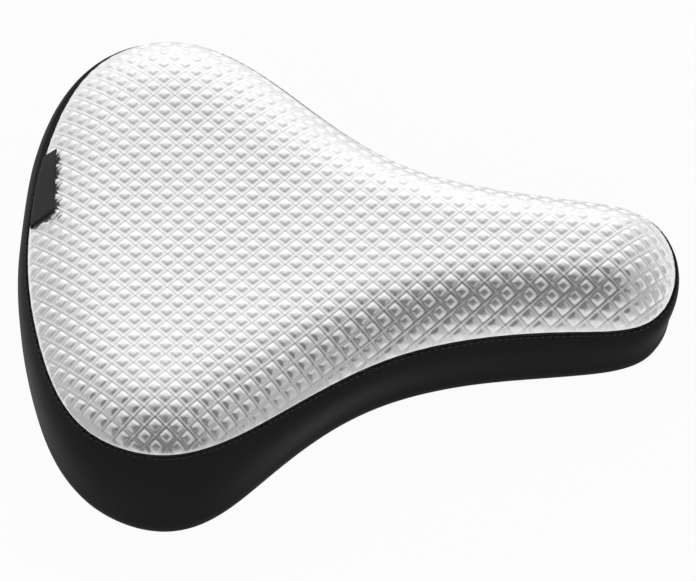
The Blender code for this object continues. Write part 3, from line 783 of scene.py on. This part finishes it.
thread_black, tree, shader = new_material("black thread")
place = add_node(tree, "TexCoord").outputs["Object"]
twist = add_node(tree, "TexNoise", {"Vector": place, "Scale": 3500.0, "Detail": 2.0}).outputs["Fac"]
tree.links.new(tint(tree, twist, (0.030, 0.030, 0.031), (0.065, 0.065, 0.067)), shader.inputs["Base Color"])
tree.links.new(bump(tree, twist, 0.00008), shader.inputs["Normal"])
shader.inputs["Roughness"].default_value = 0.6
seam_line = np.column_stack([RING + 0.00095 * OUTWARD, RING_HEIGHT - 0.00160])
stitch_row("band_topstitch", seam_line, thread_black, "black_vinyl")
flap_out = hem_out - HEM_WIDTH + 0.8 * FLAP_WIDTH
hem_line = np.column_stack([RING + flap_out[:, None] * OUTWARD, 0.00068 * gather - 0.0001])
stitch_row("hem_stitch", hem_line, thread_black, "black_vinyl")


# Seam tape. Black woven tape, 10 mm wide, laid over the raw edges on the inside just under the seam and
# sewn down with them.

TAPE_DROP = 0.0025
TAPE_WIDTH = 0.0100
TAPE_THICKNESS = 0.0008

# The tape follows the band's side, which is the rows from the lip to the foot.
side_only = side_rows[6:23]
outs = np.stack([np.broadcast_to(out, len(RING)) for out, _ in side_only], axis=1)
levels = np.stack([level for _, level in side_only], axis=1)
run_down = np.cumsum(np.hypot(np.diff(outs, axis=1), np.diff(levels, axis=1)), axis=1)
run_down = np.column_stack([np.zeros(len(RING)), run_down])
tape_rows = []
for share in np.linspace(0.0, 1.0, 7):
    down = TAPE_DROP + share * TAPE_WIDTH
    out = np.array([np.interp(down, run, places) for run, places in zip(run_down, outs)])
    level = np.array([np.interp(down, run, places) for run, places in zip(run_down, levels)])
    tape_rows.append((out, level))
gap = BAND_THICKNESS + 2.0 * LAYER_GAP
inner = []
for i, (out, level) in enumerate(tape_rows):
    before, after = tape_rows[max(i - 1, 0)], tape_rows[min(i + 1, len(tape_rows) - 1)]
    d_out, d_level = after[0] - before[0], after[1] - before[1]
    size = np.hypot(d_out, d_level)
    inner.append((out + gap * d_level / size, level - gap * d_out / size))
tape = ring_strip("seam_tape_woven", inner)
face_out(tape, inner[3], inner[2])
map_cloth(tape, inner)
apply_modifier(tape, "SOLIDIFY", thickness=TAPE_THICKNESS, offset=1.0)
smooth_faces(tape, 60.0)

tape_black, tree, shader = new_material("black tape")
height, thread = woven(tree, 2200.0, 1.0)
tree.links.new(tint(tree, thread, (0.012, 0.012, 0.012), (0.045, 0.045, 0.046)), shader.inputs["Base Color"])
tree.links.new(bump(tree, height, 0.0002), shader.inputs["Normal"])
shader.inputs["Roughness"].default_value = 0.85
finish_piece(tape, tape_black, "tape_fabric", "seam_tape")


# Hem elastic. Round rubber cord in a black braided sleeve, 2.8 mm thick, closed to a ring and drawn tight
# inside the folded hem, which it gathers under the saddle.

ELASTIC_RADIUS = 0.0014

cord_rows = []
for turn in np.linspace(0.0, 360.0, 13):
    angle = math.radians(turn)
    cord_rows.append((hem_out - HEM_WIDTH - 0.0003 * gather + ELASTIC_RADIUS * math.cos(angle),
                      FOLD_RADIUS + 0.0008 * gather + ELASTIC_RADIUS * math.sin(angle)))
elastic = ring_strip("hem_elastic_cord", cord_rows)
map_cloth(elastic, cord_rows)
pick(elastic)
bpy.ops.object.mode_set(mode="EDIT")
bpy.ops.mesh.select_all(action="SELECT")
bpy.ops.mesh.remove_doubles(threshold=0.00001)
bpy.ops.mesh.normals_make_consistent(inside=False)
bpy.ops.object.mode_set(mode="OBJECT")
smooth_faces(elastic, 60.0)

elastic_black, tree, shader = new_material("braided elastic")
height, thread = woven(tree, 1300.0, 1.0)
tree.links.new(tint(tree, thread, (0.014, 0.014, 0.014), (0.060, 0.060, 0.062)), shader.inputs["Base Color"])
tree.links.new(bump(tree, height, 0.0003), shader.inputs["Normal"])
shader.inputs["Roughness"].default_value = 0.8
finish_piece(elastic, elastic_black, "elastic", "hem_elastic")


# Label. A blank tab of dense black woven tape, heat-cut and caught by one side in the rear seam. It lies
# on the top, and its free side stands a little off it.

LABEL_OFFSET = 0.0110
LABEL_LENGTH = 0.0380
LABEL_DEPTH = 0.0114
LABEL_FAR_DEPTH = 0.0058
LABEL_THICKNESS = 0.0007
LABEL_ROOT = 0.0004
LABEL_SKEW, LABEL_FAR_SKEW = 0.0044, 0.0028
LABEL_LIFT = 0.0013
LABEL_CURL = 0.0007
LABEL_TUCK = 0.0022

bpy.ops.object.select_all(action="DESELECT")
bpy.ops.mesh.primitive_grid_add(x_subdivisions=40, y_subdivisions=12, size=1.0)
label = bpy.context.object
label.name = label.data.name = "label_woven"
flat = flat_points(label)
along, deep = flat[:, 0] + 0.5, flat[:, 1] + 0.5
root_run = LABEL_OFFSET + LABEL_LENGTH * along
seam, ahead = (np.stack([np.interp(run, seam_run, SEAM[:, axis]) for axis in (0, 1)], axis=1)
               for run in (root_run, root_run + 0.001))
direction = (ahead - seam) / np.linalg.norm(ahead - seam, axis=1)[:, None]
free_edge = LABEL_DEPTH * (1.0 - along) + LABEL_FAR_DEPTH * along
depth = LABEL_ROOT + deep * (free_edge - LABEL_ROOT)
skew = LABEL_SKEW * (1.0 - along) + LABEL_FAR_SKEW * along
plan = seam + depth[:, None] * np.stack([direction[:, 1], -direction[:, 0]], axis=1)
plan += (skew * deep)[:, None] * direction
lift = LABEL_LIFT + LABEL_CURL * (depth / LABEL_DEPTH) ** 2
lift -= LABEL_TUCK * np.clip(1.0 - deep / 0.12, 0.0, 1.0) ** 2
lift += 0.00012 * np.sin(9.0 * along + 1.0) * deep
put_points(label, on_dome(plan[:, 0], plan[:, 1], lift))
map_points(label, "cloth", np.stack([LABEL_LENGTH * along, depth], axis=1))
apply_modifier(label, "SOLIDIFY", thickness=LABEL_THICKNESS, offset=0.0)
apply_modifier(label, "BEVEL", width=0.0002, segments=2, limit_method="ANGLE", angle_limit=math.radians(60.0))
smooth_faces(label, 60.0)

label_black, tree, shader = new_material("black woven label")
height, thread = woven(tree, 3200.0, 2.0)
tree.links.new(tint(tree, thread, (0.012, 0.012, 0.012), (0.026, 0.026, 0.027)), shader.inputs["Base Color"])
tree.links.new(bump(tree, height, 0.0001), shader.inputs["Normal"])
shader.inputs["Roughness"].default_value = 0.75
finish_piece(label, label_black, "label_fabric", "label")


# Floor, light and camera. A pale floor that shows white and keeps the cover's soft shadow, a weak lamp
# above, and a studio that is bright behind and dim overhead, which gives the silver vinyl its greys.

bpy.ops.object.select_all(action="DESELECT")
bpy.ops.mesh.primitive_plane_add(size=14.0, location=(0.0, 0.0, -0.0004))
floor = bpy.context.object
floor.name = floor.data.name = "floor"
floor_white, tree, shader = new_material("pale floor")
shader.inputs["Base Color"].default_value = (0.86, 0.86, 0.86, 1.0)
shader.inputs["Roughness"].default_value = 0.9
shader.inputs["Specular IOR Level"].default_value = 0.0
glow = add_node(tree, "Emission", {"Color": (1.0, 1.0, 1.0, 1.0), "Strength": 1.0})
light_path = add_node(tree, "LightPath")
seen = calculate(tree, "MAXIMUM", light_path.outputs["Is Camera Ray"], light_path.outputs["Is Glossy Ray"])
seen = calculate(tree, "MAXIMUM", seen, light_path.outputs["Is Transmission Ray"])
glow_share = calculate(tree, "MULTIPLY", seen, 0.96)
mixed = add_node(tree, "MixShader", {0: glow_share, 1: shader.outputs[0], 2: glow.outputs[0]})
tree.links.new(mixed.outputs[0], tree.nodes["Material Output"].inputs["Surface"])
floor.data.materials.append(floor_white)

# The studio's light, given as (place, light) from the camera's side over the top to the back, is dimmest
# overhead. A soft dark patch hangs high on the camera's side, at this angle above the floor.
STUDIO_LIGHT = ((0.0, 0.85), (0.20, 0.66), (0.35, 0.53), (0.60, 0.46), (0.76, 0.56), (0.886, 0.91),
                (0.97, 1.24), (1.0, 1.45))
PATCH_ABOVE = math.radians(63.0)
world = bpy.data.worlds.new("studio")
world.use_nodes = True
bpy.context.scene.world = world
tree = world.node_tree
way = add_node(tree, "TexCoord").outputs["Generated"]
toward_back = add_node(tree, "VectorMath", {0: way, 1: (0.0, 0.98, 0.20)}, operation="DOT_PRODUCT")
ramp = add_node(tree, "ValToRGB", {0: calculate(tree, "MULTIPLY_ADD", toward_back.outputs["Value"], 0.5, 0.5)})
for stop, (position, light) in zip(ramp.color_ramp.elements, (STUDIO_LIGHT[0], STUDIO_LIGHT[-1])):
    stop.position = position
    stop.color = (light, light, light, 1.0)
for position, light in STUDIO_LIGHT[1:-1]:
    ramp.color_ramp.elements.new(position).color = (light, light, light, 1.0)
patch_way = (0.0, -math.cos(PATCH_ABOVE), math.sin(PATCH_ABOVE))
toward_dark = add_node(tree, "VectorMath", {0: way, 1: patch_way}, operation="DOT_PRODUCT")
patch = add_node(tree, "MapRange", {0: toward_dark.outputs["Value"], 1: 0.69, 2: 0.96, 3: 0.0, 4: 0.40},
                 interpolation_type="SMOOTHSTEP").outputs[0]
tree.links.new(calculate(tree, "SUBTRACT", ramp.outputs[0], patch), tree.nodes["Background"].inputs["Color"])
tree.nodes["Background"].inputs["Strength"].default_value = 1.0

LAMP_PLACE = Vector((-0.2, 0.5, 1.5))
bpy.ops.object.light_add(type="AREA", location=LAMP_PLACE)
lamp = bpy.context.object
lamp.name = lamp.data.name = "overhead_lamp"
lamp.data.shape = "SQUARE"
lamp.data.size = 1.6
lamp.data.energy = 1.0
lamp.rotation_euler = (-LAMP_PLACE).to_track_quat("-Z", "Y").to_euler()

# The camera stands as it was solved from the photograph, with its focal length in pixels.
FOCAL_PIXELS, PHOTO_PIXELS = 7261.1, 696.0
SENSOR_WIDTH = 36.0
VIEW_TARGET = Vector((0.000874, -0.026723, 0.050))
VIEW_DISTANCE = 3.000
turn, rise, roll = (math.radians(angle) for angle in (2.674, 50.704, -1.853))
back = Vector((math.sin(turn) * math.cos(rise), -math.cos(turn) * math.cos(rise), math.sin(rise)))
level_right = Vector((math.cos(turn), math.sin(turn), 0.0))
level_up = back.cross(level_right)
right = level_right * math.cos(roll) + level_up * math.sin(roll)
up = level_up * math.cos(roll) - level_right * math.sin(roll)
bpy.ops.object.camera_add(location=VIEW_TARGET + VIEW_DISTANCE * back)
camera = bpy.context.object
camera.name = "view"
camera.rotation_euler = Matrix((right, up, back)).transposed().to_euler()
camera.data.sensor_width = SENSOR_WIDTH
camera.data.lens = SENSOR_WIDTH * FOCAL_PIXELS / PHOTO_PIXELS
camera.data.clip_end = 30.0
bpy.context.scene.camera = camera
bpy.context.scene.view_settings.view_transform = "Standard"
